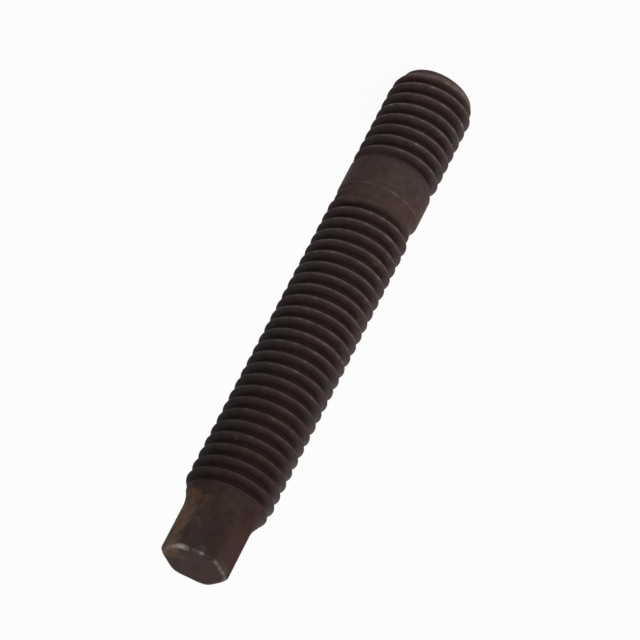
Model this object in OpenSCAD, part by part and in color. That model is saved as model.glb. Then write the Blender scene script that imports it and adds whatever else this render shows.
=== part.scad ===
// Exhaust stud: one piece of steel, turned to shape and thread rolled at both ends.
// It stands on its tap end at the origin, with its axis along +Z and the driving hexagon on top.

/* [Threads] */
// Nominal diameter of both threads
thread_d = 8; // [6:0.5:12]
// Rise of the threads in one turn
thread_pitch = 1.25; // [0.75:0.05:1.5]
// Depth of the rolled crests below the nominal radius
crest_drop = 0.05; // [0.02:0.01:0.1]

/* [Tap end] */
// Diameter of the flat end face that the stud stands on
tap_face_d = 6.6; // [5:0.1:6.8]
// Length of the chamfer that leads the tap thread in
tap_chamfer_len = 1.4; // [0.6:0.1:3]
// Length of full thread that goes into the casting
tap_thread_len = 8.2; // [5:0.1:20]
// Stretch in which the tap thread dies out below the collar
tap_runout_len = 0.6; // [0.4:0.1:3]

/* [Collar] */
// Plain neck between the tap thread and the collar
tap_neck_len = 0.3; // [0.2:0.1:3]
// Diameter of the plain collar
collar_d = 7.8; // [7.5:0.05:8]
// Length of the collar with its two bevels
collar_len = 3.8; // [1.5:0.1:8]
// Length of each bevel at the collar's edges
collar_bevel = 0.45; // [0.1:0.05:0.7]
// Plain neck between the collar and the nut thread
nut_neck_len = 0.4; // [0.2:0.1:3]

/* [Nut end] */
// Stretch in which the nut thread dies out above the collar
nut_runout_len = 1.6; // [1:0.1:3]
// Length of full thread that takes the nut
nut_thread_len = 29.7; // [15:0.1:60]

/* [Driving end] */
// Length from the nut thread to the top of the hexagon
drive_len = 7; // [5:0.1:12]
// Angle between the axis and the cone that leads the nut on
cone_angle = 27; // [22:1:45]
// Width of the hexagon across its flats
hex_flats = 5.5; // [5:0.1:5.6]
// Diameter to which the hexagon's corners are turned
hex_corner_d = 6.2; // [5.8:0.05:6.3]
// Bevel around the top of the hexagon
hex_bevel = 0.2; // [0.05:0.05:0.4]

/* [Hidden] */
$fn = 96;

crest_r = thread_d / 2 - crest_drop;
// The blank is turned to the pitch diameter, so that rolling raises the crests out of it
pitch_drop_share = 0.6495;
blank_r = (thread_d - pitch_drop_share * thread_pitch) / 2;
collar_r = collar_d / 2;
hex_corner_r = hex_corner_d / 2;
hex_point_d = hex_flats / cos(30);
// The cone ends inside the hexagon, so that the flats run out on it in curves
cone_overlap = 0.15;
cone_top_r = hex_flats / 2 - cone_overlap;

// Heights along the axis, from the end face upwards
tap_thread_z = tap_chamfer_len;
tap_runout_z = tap_thread_z + tap_thread_len;
tap_neck_z = tap_runout_z + tap_runout_len;
collar_z = tap_neck_z + tap_neck_len;
nut_neck_z = collar_z + collar_len;
nut_runout_z = nut_neck_z + nut_neck_len;
nut_thread_z = nut_runout_z + nut_runout_len;
cone_z = nut_thread_z + nut_thread_len;
cone_top_z = cone_z + (crest_r - cone_top_r) / tan(cone_angle);
top_z = cone_z + drive_len;

// Half section of the turned blank, from the end face to the top of the cone
turned_outline = [
    [0, 0],
    [tap_face_d / 2, 0],
    [crest_r, tap_thread_z],
    [crest_r, tap_runout_z],
    [blank_r, tap_neck_z],
    [blank_r, collar_z],
    [collar_r, collar_z + collar_bevel],
    [collar_r, nut_neck_z - collar_bevel],
    [blank_r, nut_neck_z],
    [blank_r, nut_runout_z],
    [crest_r, nut_thread_z],
    [crest_r, cone_z],
    [cone_top_r, cone_top_z],
    [0, cone_top_z],
];

// Half section that turns the hexagon's corners round and bevels their tops
corner_outline = [
    [0, cone_z],
    [hex_corner_r, cone_z],
    [hex_corner_r, top_z - hex_bevel],
    [hex_corner_r - hex_bevel, top_z],
    [0, top_z],
];

// Wedge that takes the bevel off the top edge of one flat, the one that faces +X
module flat_bevel() {
    translate([hex_flats / 2 - hex_bevel, -hex_point_d / 2, top_z])
        rotate([0, 45, 0])
            cube([hex_point_d, hex_point_d, hex_point_d]);
}

// Hexagon whose flats run out on the cone below it
module driving_hexagon() {
    difference() {
        intersection() {
            translate([0, 0, cone_z])
                cylinder(d = hex_point_d, h = drive_len, $fn = 6);
            rotate_extrude()
                polygon(corner_outline);
        }
        for (flat = [0 : 5])
            rotate([0, 0, 30 + 60 * flat])
                flat_bevel();
    }
}

module stud() {
    color("#3f302c") {
        rotate_extrude()
            polygon(turned_outline);
        driving_hexagon();
    }
}

stud();
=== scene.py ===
import math

import bpy
import numpy as np
from mathutils import Matrix, Vector


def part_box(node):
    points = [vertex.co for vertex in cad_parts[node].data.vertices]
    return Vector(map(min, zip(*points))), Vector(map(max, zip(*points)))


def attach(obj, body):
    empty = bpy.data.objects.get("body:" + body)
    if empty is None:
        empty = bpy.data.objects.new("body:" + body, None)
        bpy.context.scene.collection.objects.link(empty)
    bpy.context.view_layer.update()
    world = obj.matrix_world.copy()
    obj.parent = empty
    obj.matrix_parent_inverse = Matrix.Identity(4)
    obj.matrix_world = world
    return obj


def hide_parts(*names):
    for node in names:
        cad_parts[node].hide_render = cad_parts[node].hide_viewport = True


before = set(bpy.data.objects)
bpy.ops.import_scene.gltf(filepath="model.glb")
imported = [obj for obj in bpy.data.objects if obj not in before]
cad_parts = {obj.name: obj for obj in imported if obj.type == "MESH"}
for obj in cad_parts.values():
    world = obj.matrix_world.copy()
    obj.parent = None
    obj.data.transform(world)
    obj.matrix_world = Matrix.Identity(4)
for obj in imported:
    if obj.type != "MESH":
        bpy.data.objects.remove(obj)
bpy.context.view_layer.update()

# The stud is one piece of steel bar, turned to a blank with a collar and a hexagon dog at one end.
# Rolling dies then raised a right-hand thread at each end, and the whole was phosphated and oiled.
# It has since browned, rust blooms on it here and there, and the hexagon's rim is worn bright.

mm = 0.001
stud_low, stud_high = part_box("stud")
stud_len = (stud_high.z - stud_low.z) / mm
crest_r = stud_high.x / mm

# The thread is metric coarse, with its crests a little short of the nominal size, as rolling leaves
# them. The shares say how many pitches its pitch and root diameters lie below the nominal one.
# All sizes of the stud are in millimetres.
pitch = 1.25
crest_drop = 0.05
pitch_share = 0.6495
root_share = 1.2269
pitch_r = crest_r + crest_drop - pitch_share * pitch / 2
root_r = crest_r + crest_drop - root_share * pitch / 2
flank_slope = math.tan(math.radians(60))
crest_round = 0.16
root_round = 0.14


def soft_min(a, b, blend):
    """The smaller of a and b, with a parabola of the given width where one takes over from the other."""
    share = np.clip(0.5 + 0.5 * (b - a) / blend, 0, 1)
    return b + (a - b) * share - blend * share * (1 - share)


def soft_max(a, b, blend):
    """The larger of a and b, rounded in the same way."""
    return -soft_min(-a, -b, blend)


def thread_radius(z, turn, start):
    """
    Rolled thread: a V wave that repeats each pitch, in the height less the turn's share of a pitch,
    with its flanks at 60 degrees to each other, cut off round at crest and root.
    """
    place = (z - start) / pitch - turn / (2 * np.pi)
    off_crest = np.abs(place % 1 - 0.5) * pitch
    vee = pitch_r + (pitch / 4 - off_crest) * flank_slope
    return soft_max(soft_min(vee, crest_r, crest_round), root_r, root_round)


# Where the threads start round the stud, and the heights between which they die out: the tap thread
# against the collar, and the nut thread beside the collar and on the cone.
tap_start = 0.5
tap_fade_low = 9.9
tap_fade_top = 10.5
nut_start = 0.2
nut_runout_low = 14.7
nut_thread_low = 16.3
cone_low = 46.0
cone_fade_low = cone_low + 0.2
cone_fade_top = cone_low + 1.2


def smooth_step(value, start, end):
    """0 before start and 1 after end, with an S curve between them."""
    t = np.clip((value - start) / (end - start), 0, 1)
    return t * t * (3 - 2 * t)


def tap_depth(z):
    """Share of the full thread on the tap end: 1, falling to 0 against the collar."""
    return 1 - smooth_step(z, tap_fade_low, tap_fade_top)


def nut_depth(z):
    """Share of the full thread on the nut end: from 0 beside the collar up to 1, and to 0 on the cone."""
    return smooth_step(z, nut_runout_low, nut_thread_low) - smooth_step(z, cone_fade_low, cone_fade_top)


# The dies left the nut thread's last crest standing higher beside the collar on one side.
last_crest_low = 13.9
last_crest_full = 15.1
last_crest_turn = math.radians(-5)

# Turned forms: the end face and its chamfer, the collar with a bevel at each edge, and the cone.
tap_face_r = 3.3
tap_chamfer_top = 1.4
collar_r = 3.9
collar_low = 10.5
collar_top = 14.3
collar_bevel = 0.45
cone_fall = math.tan(math.radians(27))
collar_blend = 0.06
chamfer_blend = 0.08
cone_blend = 0.12


def chamfer_radius(z):
    """A straight line from the end face's radius at the foot, through the crests' at the chamfer's top."""
    return tap_face_r + (crest_r - tap_face_r) * z / tap_chamfer_top


def shank_radius(z, turn):
    """
    The blank plus each thread's height above it times that thread's share, with the last crest's
    share leaning to one side. The collar stands on it, and the chamfer and the cone cut it off.
    """
    tap = pitch_r + tap_depth(z) * (thread_radius(z, turn, tap_start) - pitch_r)
    lift = thread_radius(z, turn, nut_start) - pitch_r
    leaning = 0.5 + 0.5 * np.cos(turn - last_crest_turn)
    last_crest = smooth_step(z, last_crest_low, last_crest_full) * leaning * (z < nut_thread_low)
    nut = pitch_r + lift * np.where(lift > 0, np.maximum(nut_depth(z), last_crest), nut_depth(z))
    blank = np.where(z < (collar_low + collar_top) / 2, tap, nut)
    rise = np.minimum(z - collar_low, collar_top - z)
    collar = np.minimum(collar_r, pitch_r + (collar_r - pitch_r) * rise / collar_bevel)
    cone = crest_r - cone_fall * (z - cone_low)
    turned = soft_min(soft_max(blank, collar, collar_blend), chamfer_radius(z), chamfer_blend)
    return soft_min(turned, cone, cone_blend)


# The hexagon: half its width across flats, the radius its corners are turned to, and the fillet in
# which its flats run out on the cone. Its rim is worn rounder at the corners and where a blow fell.
hex_half = 2.75
hex_corner_r = 3.1
hex_corner_blend = 0.05
hex_fillet = 0.4
rim_round = 0.2
rim_uneven = 0.3
rim_room = 0.9
corner_wear_width = 9
blow_turn = -65
blow_width = 14
blow_depth = 1.8

# Rows of the grid: where the shank's rows start, how many there are to a pitch and round the rim, and
# the shares of the radius at which they lie on each end's face.
shank_foot = 0.06
rows_to_pitch = 18
rim_rows = 8
face_shares = np.array([0.96, 0.7, 0.35])[:, None]
foot_shares = np.array([0.3, 0.7, 0.955, 0.985])[:, None]


def hex_radius(turn):
    """Half the width over the cosine of the angle off the nearest flat, cut off at the corners' radius."""
    off_flat = turn % (np.pi / 3) - np.pi / 6
    return soft_min(hex_half / np.cos(off_flat), hex_corner_r, hex_corner_blend)


def waves(along, turn, seed, count, fastest):
    """Gentle unevenness from -1 to 1: a mean of sine waves that run round and along at seeded slants."""
    rng = np.random.default_rng(seed)
    total = np.zeros(np.broadcast(along, turn).shape)
    for _ in range(count):
        rounds = rng.integers(-fastest, fastest + 1)
        total += np.sin(rounds * turn + rng.uniform(0.2, 2.2) * along + rng.uniform(0, 2 * np.pi))
    return total / count


def bell(offset, width):
    """Bell curve, 1 at no offset: e to the power of minus the square of the offset over the width."""
    return np.exp(-(offset / width) ** 2)


def from_turn(turn, degrees):
    """Degrees round the stud from the given turn to each column, from -180 to 180."""
    return (np.degrees(turn) - degrees + 180) % 360 - 180


def stud_surface(columns):
    """
    Radius and height over a grid of rows and turns. The rows go out over the foot, up the shank and the
    hexagon on it, round the rim as a quarter circle whose radius wear has widened, and in over the face.
    """
    turn = np.linspace(0, 2 * np.pi, columns, endpoint=False)[None, :]
    shank_top = stud_len - rim_room
    shank = np.linspace(shank_foot, shank_top, int(shank_top / pitch * rows_to_pitch))
    z = np.repeat(shank[:, None], columns, axis=1)
    dog = hex_radius(turn)
    bare = shank_radius(z, turn)
    side_r = np.where(z > cone_low, soft_max(bare, dog, hex_fillet), bare)

    off_corner = (np.degrees(turn) + 30) % 60 - 30
    wear = bell(off_corner, corner_wear_width) + blow_depth * bell(from_turn(turn, blow_turn), blow_width)
    rim = rim_round * (1 + rim_uneven * waves(0, turn, seed=3, count=6, fastest=9) + wear)
    bend = np.linspace(0, np.pi / 2, rim_rows)[:, None]
    rim_r = dog - rim * (1 - np.cos(bend))
    rim_z = stud_len - rim * (1 - np.sin(bend))

    foot_r = side_r[:1] * foot_shares
    face_r = rim_r[-1:] * face_shares
    radius = np.vstack([foot_r, side_r, rim_r, face_r])
    height = np.vstack([np.zeros(foot_r.shape), z, rim_z, np.full(face_r.shape, stud_len)])
    return turn, radius, height


def closed_mesh(name, turn, radius, height, foot, top):
    """
    Mesh of a grid of radius and height over turn: each row is a ring whose last column joins the first,
    and a fan of triangles to a point on the axis closes each end.
    """
    rows, columns = radius.shape
    grid = np.stack([radius * np.cos(turn), radius * np.sin(turn), height], axis=-1).reshape(-1, 3)
    points = np.vstack([grid, [[0, 0, foot], [0, 0, top]]]) * mm
    index = np.arange(rows * columns).reshape(rows, columns)
    beside = np.roll(index, -1, axis=1)
    quads = np.stack([index[:-1], beside[:-1], beside[1:], index[1:]], axis=-1).reshape(-1, 4)
    low_fan = np.stack([beside[0], index[0], np.full(columns, rows * columns)], axis=-1)
    top_fan = np.stack([index[-1], beside[-1], np.full(columns, rows * columns + 1)], axis=-1)
    mesh = bpy.data.meshes.new(name)
    mesh.from_pydata(points.tolist(), [], quads.tolist() + low_fan.tolist() + top_fan.tolist())
    mesh.polygons.foreach_set("use_smooth", np.ones(len(mesh.polygons), bool))
    return mesh


turn, radius, height = stud_surface(columns=120)
stud_mesh = closed_mesh("stud_turned", turn, radius, height, 0, stud_len)
stud = bpy.data.objects.new("stud_turned", stud_mesh)
bpy.context.scene.collection.objects.link(stud)


def paint(mesh, name, values, foot, top):
    """Stores a value for each point of the grid, and one for each end's middle, for the material."""
    layer = mesh.attributes.new(name, "FLOAT", "POINT")
    layer.data.foreach_set("value", np.append(values.ravel(), [foot, top]).astype(np.float32))


# Ridge: 1 on the crests and 0 in the roots, for the crests' rubbing and painted highlight and the roots'
# old oil and painted shade.
# Plain stretches have a level between the two, and the crests near the hexagon are hardly rubbed and carry
# little painted highlight.
plain_ridge = 0.84
rub_and_highlight_heights = [0, 5, 9.6, 16.3, 27, 36, 46]
rub_and_highlight_levels = [1.0, 1.0, 0.7, 0.9, 0.9, 0.5, 0.2]
threaded = (tap_depth(height) + nut_depth(height)) * (height > 0)
below_crest = np.minimum(crest_r, chamfer_radius(height)) - radius
ridge = np.clip(1 - below_crest / (crest_r - root_r), 0, 1)
rub_and_highlight_share = np.interp(height, rub_and_highlight_heights, rub_and_highlight_levels)
ridge = np.minimum(ridge, plain_ridge + (ridge - plain_ridge) * rub_and_highlight_share)
paint(stud_mesh, "ridge", plain_ridge + threaded * (ridge - plain_ridge), plain_ridge, plain_ridge)

# Worn: bare steel shows in dashes round the hexagon's rim, most where the blow fell. A faint line of it at
# the collar's edge is a painted highlight.
# The dashes' ends are given in degrees round the stud.
rim_turns = [-180, -170, -158, -124, -119, -104, -99, -84, -79, -75, -69,
             -60, -44, -34, 10, 40, 75, 90, 130, 160, 180]
rim_levels = [0.3, 0.6, 0.85, 0.75, 0.1, 0.1, 0.9, 0.8, 0.1, 0.3, 1.2,
              1.3, 1.5, 0.7, 0.5, 0.1, 0.6, 0.2, 0.5, 0.1, 0.3]
rim_wear_z = stud_len - 0.08
rim_wear_width = 0.1
collar_highlight = 0.2
collar_highlight_width = 0.06
last_rim_row = radius[-len(face_shares) - 1]
inside_rim = 0.97
on_side = radius > inside_rim * last_rim_row
rim_worn = np.interp(from_turn(turn, 0), rim_turns, rim_levels) * bell(height - rim_wear_z, rim_wear_width)
collar_edge_highlight = collar_highlight * bell(height - collar_top + collar_bevel, collar_highlight_width)
paint(stud_mesh, "worn", np.maximum(rim_worn * on_side, collar_edge_highlight), 0, 0)

# Rusty: rust lies on one side of the hexagon and its cone, and creeps in over the end face from there.
# Here and below, a side's turn and width are in degrees.
rust_turn = -22
rust_width = 38
rust_side = bell(from_turn(turn, rust_turn), rust_width)
on_cone = smooth_step(height, cone_low + 0.5, cone_low + 2.2)
on_cone = on_cone * (1 - smooth_step(height, stud_len - 0.2, stud_len))
on_face = smooth_step(height, stud_len - 0.05, stud_len)
face_rust = 1.7
face_creep = on_face * (radius / hex_half) ** 2
paint(stud_mesh, "rusty", (on_cone + face_rust * face_creep) * rust_side, 0, 0)

# Redness: the brown is greyer on one side of the nut thread, and a little so on the tap end, and redder
# on one flat of the hexagon and on the end face.
grey_turn = -35
grey_width = 42
greying = 0.36
tap_greying = 0.4
tap_paint_top = 10
red_turn = -150
red_width = 32
flat_redness = 0.4
face_redness = 0.5
on_nut = smooth_step(height, 15.5, 18) - smooth_step(height, 45, 46.5)
on_tap = height < tap_paint_top
grey_side = np.maximum(on_nut, tap_greying * on_tap) * bell(from_turn(turn, grey_turn), grey_width)
on_flats = smooth_step(height, cone_low + 0.5, cone_low + 2) * on_side
red_flat = bell(from_turn(turn, red_turn), red_width) * on_flats
redness = 1 - greying * grey_side + face_redness * on_face + flat_redness * red_flat
paint(stud_mesh, "redness", redness, 1, 1 + face_redness)

# Tone: the skin is palest on the tap end's chamfer, pale on the collar and darkest on the cone, and its
# fall along the threads from the tap end towards the hexagon is painted shade.
# Painted highlight makes the crests paler on two sides, and painted shade darkens the flat that faces the
# camera.
tone_heights = [0, 0.06, 1.0, 2.2, 9.6, 10.9, 15.6, 16.6, 30, 46, 47.5, 49, 52.9, 53]
tone_levels = [1.25, 1.8, 1.6, 1.24, 1.2, 1.28, 1.28, 1.1, 1.0, 0.84, 0.76, 0.9, 0.95, 1.0]
tone = np.interp(height, tone_heights, tone_levels)
# Painted highlight on the crests, on two sides.
crest_highlight_turn = -132
crest_highlight_width = 28
crest_highlight_level = 0.16
tap_crest_highlight_turn = -55
tap_crest_highlight_width = 35
tap_crest_highlight_level = 0.14
crest_highlight = crest_highlight_level * bell(from_turn(turn, crest_highlight_turn), crest_highlight_width)
tap_crest_highlight = tap_crest_highlight_level * bell(from_turn(turn, tap_crest_highlight_turn), tap_crest_highlight_width) * on_tap
painted_crest_highlight = (crest_highlight + tap_crest_highlight) * threaded * smooth_step(ridge, 0.8, 0.95)
# Painted shade on the flat that faces the camera.
shade_flat_turn = -95
shade_flat_width = 34.4
shade_flat_level = 0.22
shade_flat = shade_flat_level * bell(from_turn(turn, shade_flat_turn), shade_flat_width) * on_side
shade_flat = shade_flat * smooth_step(height, cone_low + 1.5, cone_low + 3.5)
paint(stud_mesh, "tone", tone * (1 + painted_crest_highlight) - shade_flat, tone_levels[0], tone_levels[-1])


def linear(hex_colour):
    """Linear colour of an sRGB hex value: each channel through the sRGB curve, with alpha 1."""
    srgb = np.array([int(hex_colour[i:i + 2], 16) for i in (1, 3, 5)]) / 255
    low, high = srgb / 12.92, ((srgb + 0.055) / 1.055) ** 2.4
    return (*np.where(srgb <= 0.04045, low, high).tolist(), 1.0)


def add_node(tree, kind, output, sockets, **settings):
    """Adds a node with its settings, gives sockets their constants or links, and returns one output."""
    node = tree.nodes.new(kind)
    for name, value in settings.items():
        setattr(node, name, value)
    for name, value in sockets.items():
        socket = next(s for s in node.inputs if name in (s.identifier, s.name))
        if isinstance(value, bpy.types.NodeSocket):
            tree.links.new(value, socket)
        else:
            socket.default_value = value
    return next((s for s in node.outputs if output in (s.identifier, s.name)), None)


def per_metre(size_mm):
    """Scale of a pattern whose marks are the given size apart: one over that size in metres."""
    return 1 / (size_mm * mm)


# Manganese-phosphated steel: a dull, porous, oil-dark skin with hardly any gloss. It gives the eye soft
# brown-black bands, greyer on the crests with rubbing and painted highlight, dark in the roots with old
# oil and painted shade, and red-brown rust breaking through.
phosphated = bpy.data.materials.new("manganese_phosphated_steel")
phosphated.use_nodes = True
tree = phosphated.node_tree
tree.nodes.clear()
place = add_node(tree, "ShaderNodeTexCoord", "Object", {})
ridge_at = add_node(tree, "ShaderNodeAttribute", "Fac", {}, attribute_name="ridge")
wear_and_highlight_at = add_node(tree, "ShaderNodeAttribute", "Fac", {}, attribute_name="worn")
rusty_at = add_node(tree, "ShaderNodeAttribute", "Fac", {}, attribute_name="rusty")
tone_at = add_node(tree, "ShaderNodeAttribute", "Fac", {}, attribute_name="tone")
redness_at = add_node(tree, "ShaderNodeAttribute", "Fac", {}, attribute_name="redness")

# The skin's brown shifts in blotches of 8 mm, and is mottled every 0.7 mm.
blotch = add_node(tree, "ShaderNodeTexNoise", "Fac", {
    "Vector": place, "Scale": per_metre(8), "Detail": 3, "Roughness": 0.55})
mottle = add_node(tree, "ShaderNodeTexNoise", "Fac", {
    "Vector": place, "Scale": per_metre(0.7), "Detail": 4, "Roughness": 0.6})
brown = add_node(tree, "ShaderNodeMapRange", "Result", {
    "Value": blotch, "From Min": 0.36, "From Max": 0.64})
skin = add_node(tree, "ShaderNodeMix", "Result_Color", {
    "Factor_Float": brown, "A_Color": linear("#342a28"), "B_Color": linear("#392a27")}, data_type="RGBA")
speckle = add_node(tree, "ShaderNodeMapRange", "Result", {
    "Value": mottle, "From Min": 0.3, "From Max": 0.7, "To Min": 0.78, "To Max": 1.24})
skin = add_node(tree, "ShaderNodeVectorMath", "Vector", {
    "Vector": skin, "Scale": speckle}, operation="SCALE")

# The crests are rubbed to a paler grey, unevenly, which also serves as a painted highlight on them, and
# the tone along the stud goes over both.
rub_and_highlight = add_node(tree, "ShaderNodeMapRange", "Result", {
    "Value": ridge_at, "From Min": 0.86, "From Max": 0.99}, interpolation_type="SMOOTHSTEP")
worn_through = add_node(tree, "ShaderNodeMapRange", "Result", {
    "Value": mottle, "From Min": 0.32, "From Max": 0.66, "To Min": 0.25})
rub_and_highlight = add_node(tree, "ShaderNodeMath", "Value", {
    "Value": rub_and_highlight, "Value_001": worn_through}, operation="MULTIPLY")
skin = add_node(tree, "ShaderNodeMix", "Result_Color", {
    "Factor_Float": rub_and_highlight, "A_Color": skin, "B_Color": linear("#48403f")}, data_type="RGBA")
skin = add_node(tree, "ShaderNodeVectorMath", "Vector", {
    "Vector": skin, "Scale": tone_at}, operation="SCALE")

# Old oil and painted shade darken the roots, and the brown is greyed or reddened by side.
oil_and_shade = add_node(tree, "ShaderNodeMapRange", "Result", {
    "Value": ridge_at, "From Min": 0.84, "From Max": 0.1, "To Max": 0.9}, interpolation_type="SMOOTHSTEP")
skin = add_node(tree, "ShaderNodeMix", "Result_Color", {
    "Factor_Float": oil_and_shade, "A_Color": skin, "B_Color": linear("#1e1311")}, data_type="RGBA")
skin = add_node(tree, "ShaderNodeHueSaturation", "Color", {"Color": skin, "Saturation": redness_at})

# Rust breaks through in patches of about 2 mm, mostly where it is painted, from dark red to pale tan.
patch = add_node(tree, "ShaderNodeTexNoise", "Fac", {
    "Vector": place, "Scale": per_metre(2.2), "Detail": 5, "Roughness": 0.65})
bloom = add_node(tree, "ShaderNodeMath", "Value", {
    "Value": rusty_at, "Value_001": 0.38, "Value_002": patch}, operation="MULTIPLY_ADD")
bloom = add_node(tree, "ShaderNodeMapRange", "Result", {
    "Value": bloom, "From Min": 0.62, "From Max": 0.86, "To Max": 0.6}, interpolation_type="SMOOTHSTEP")
rust = add_node(tree, "ShaderNodeMix", "Result_Color", {
    "Factor_Float": mottle, "A_Color": linear("#3a211a"), "B_Color": linear("#8a6850")}, data_type="RGBA")
skin = add_node(tree, "ShaderNodeMix", "Result_Color", {
    "Factor_Float": bloom, "A_Color": skin, "B_Color": rust}, data_type="RGBA")

# Bare steel shows on the worn edges and as the collar's painted highlight line, broken by the mottle, and
# as small nicks on the rubbed crests.
bare = add_node(tree, "ShaderNodeMath", "Value", {
    "Value": mottle, "Value_001": 1.6, "Value_002": -0.35}, operation="MULTIPLY_ADD")
bare = add_node(tree, "ShaderNodeMath", "Value", {
    "Value": bare, "Value_001": wear_and_highlight_at}, operation="MULTIPLY", use_clamp=True)
nick = add_node(tree, "ShaderNodeMapRange", "Result", {
    "Value": mottle, "From Min": 0.58, "From Max": 0.74, "To Max": 0.32})
bare = add_node(tree, "ShaderNodeMath", "Value", {
    "Value": nick, "Value_001": rub_and_highlight, "Value_002": bare}, operation="MULTIPLY_ADD", use_clamp=True)
skin = add_node(tree, "ShaderNodeMix", "Result_Color", {
    "Factor_Float": bare, "A_Color": skin, "B_Color": linear("#a0978f")}, data_type="RGBA")
gloss = add_node(tree, "ShaderNodeMapRange", "Result", {"Value": bare, "To Min": 0.58, "To Max": 0.36})

# The phosphate's crystals are finer than the picture can show, so the grain is drawn coarser.
grain = add_node(tree, "ShaderNodeTexNoise", "Fac", {
    "Vector": place, "Scale": per_metre(0.2), "Detail": 3, "Roughness": 0.65})
relief = add_node(tree, "ShaderNodeMath", "Value", {
    "Value": mottle, "Value_001": 1.5, "Value_002": grain}, operation="MULTIPLY_ADD")
bump = add_node(tree, "ShaderNodeBump", "Normal", {
    "Height": relief, "Strength": 0.5, "Distance": 0.03 * mm})
surface = add_node(tree, "ShaderNodeBsdfPrincipled", "BSDF", {
    "Base Color": skin, "Metallic": bare, "Roughness": gloss, "Specular IOR Level": 0.04, "Normal": bump})
add_node(tree, "ShaderNodeOutputMaterial", None, {"Surface": surface})

stud_mesh.materials.append(phosphated)
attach(stud, "root")
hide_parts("stud")

# The bench is a plain round sheet of white card under the tap end, wide enough to fill the view.
# It is matt, lies a hair below the end face, and keeps only the soft shadow at the stud's foot.
bench_r = 0.5
bench_drop = 0.02 * mm
bench_sides = 96
bench_turn = np.linspace(0, 2 * np.pi, bench_sides, endpoint=False)
bench_z = np.full(bench_sides, -bench_drop)
bench_edge = np.stack([bench_r * np.cos(bench_turn), bench_r * np.sin(bench_turn), bench_z], axis=-1)
bench_mesh = bpy.data.meshes.new("bench")
bench_mesh.from_pydata(bench_edge.tolist(), [], [list(range(bench_sides))])
bench = bpy.data.objects.new("bench", bench_mesh)
bpy.context.scene.collection.objects.link(bench)


def background_ray(tree):
    """1 for a ray that shows the background, straight, in a gloss or through glass, and 0 for light."""
    seen = add_node(tree, "ShaderNodeLightPath", "Is Camera Ray", {})
    rays = seen.node.outputs
    for kind in ("Is Glossy Ray", "Is Transmission Ray"):
        seen = add_node(tree, "ShaderNodeMath", "Value", {
            "Value": seen, "Value_001": rays[kind]}, operation="MAXIMUM")
    return seen


# White card: matt paper. It gives the eye an even white, with a trace of its own shading left in it.
even_white = 0.94
card = bpy.data.materials.new("white_card")
card.use_nodes = True
tree = card.node_tree
tree.nodes.clear()
share = add_node(tree, "ShaderNodeMath", "Value", {
    "Value": background_ray(tree), "Value_001": even_white}, operation="MULTIPLY")
matt = add_node(tree, "ShaderNodeBsdfDiffuse", "BSDF", {"Color": linear("#f2f1ef")})
glow = add_node(tree, "ShaderNodeEmission", "Emission", {"Color": (1, 1, 1, 1), "Strength": 1.0})
both = add_node(tree, "ShaderNodeMixShader", "Shader", {"Fac": share, "Shader": matt, "Shader_001": glow})
add_node(tree, "ShaderNodeOutputMaterial", None, {"Surface": both})
bench_mesh.materials.append(card)

# The room is an even white surround, dimmer for the light it throws than for what is seen of it.
# Two large soft panels stand in front of the stud, the stronger on the -X side, and one stands behind.
surround_light = 0.28
world = bpy.data.worlds.new("white_surround")
bpy.context.scene.world = world
world.use_nodes = True
tree = world.node_tree
tree.nodes.clear()
level = add_node(tree, "ShaderNodeMapRange", "Result", {
    "Value": background_ray(tree), "To Min": surround_light, "To Max": 1.0})
glow = add_node(tree, "ShaderNodeBackground", "Background", {"Color": (1, 1, 1, 1), "Strength": level})
add_node(tree, "ShaderNodeOutputWorld", None, {"Surface": glow})

# Each panel has a bearing and an elevation in degrees, a side in metres and a power in watts.
stud_middle = Vector((0, 0, stud_high.z / 2))
panel_distance = 0.5
panels = {
    "front_panel": (-125, 12, 0.45, 2.9),
    "side_panel": (-20, 8, 0.4, 0.25),
    "back_panel": (115, 15, 0.45, 1.6),
}
for name, (bearing, elevation, side, power) in panels.items():
    lamp = bpy.data.lights.new(name, "AREA")
    lamp.shape = "SQUARE"
    lamp.size = side
    lamp.energy = power
    panel = bpy.data.objects.new(name, lamp)
    flat = math.cos(math.radians(elevation))
    towards = Vector((
        math.cos(math.radians(bearing)) * flat,
        math.sin(math.radians(bearing)) * flat,
        math.sin(math.radians(elevation))))
    panel.location = stud_middle + towards * panel_distance
    panel.rotation_euler = towards.to_track_quat("Z", "Y").to_euler()
    bpy.context.scene.collection.objects.link(panel)

# The camera looks down on the stud from the hexagon's side, and is rolled so that the stud lies
# across the picture with its hexagon to the lower left. A long lens fills the frame with it. Its reach
# from the stud's axis and its height above the bench are in metres.
camera_bearing = math.radians(-95)
camera_reach = 0.27388
camera_height = 0.18006
camera_roll = math.radians(207.3)
picture_px = 640
focal_px = 3600
lens = bpy.data.cameras.new("camera")
lens.sensor_width = 36
lens.lens = lens.sensor_width * focal_px / picture_px
lens.clip_start = 0.01
camera = bpy.data.objects.new("camera", lens)
bpy.context.scene.collection.objects.link(camera)
camera.location = Vector((
    camera_reach * math.cos(camera_bearing), camera_reach * math.sin(camera_bearing), camera_height))
back = (camera.location - stud_middle).normalized()
axis_up = (Vector((0, 0, 1)) - back * back.z).normalized()
axis_side = axis_up.cross(back)
right = math.cos(camera_roll) * axis_side + math.sin(camera_roll) * axis_up
up = back.cross(right)
camera.rotation_euler = Matrix((right, up, back)).transposed().to_euler()
bpy.context.scene.camera = camera

bpy.context.scene.view_settings.view_transform = "Standard"
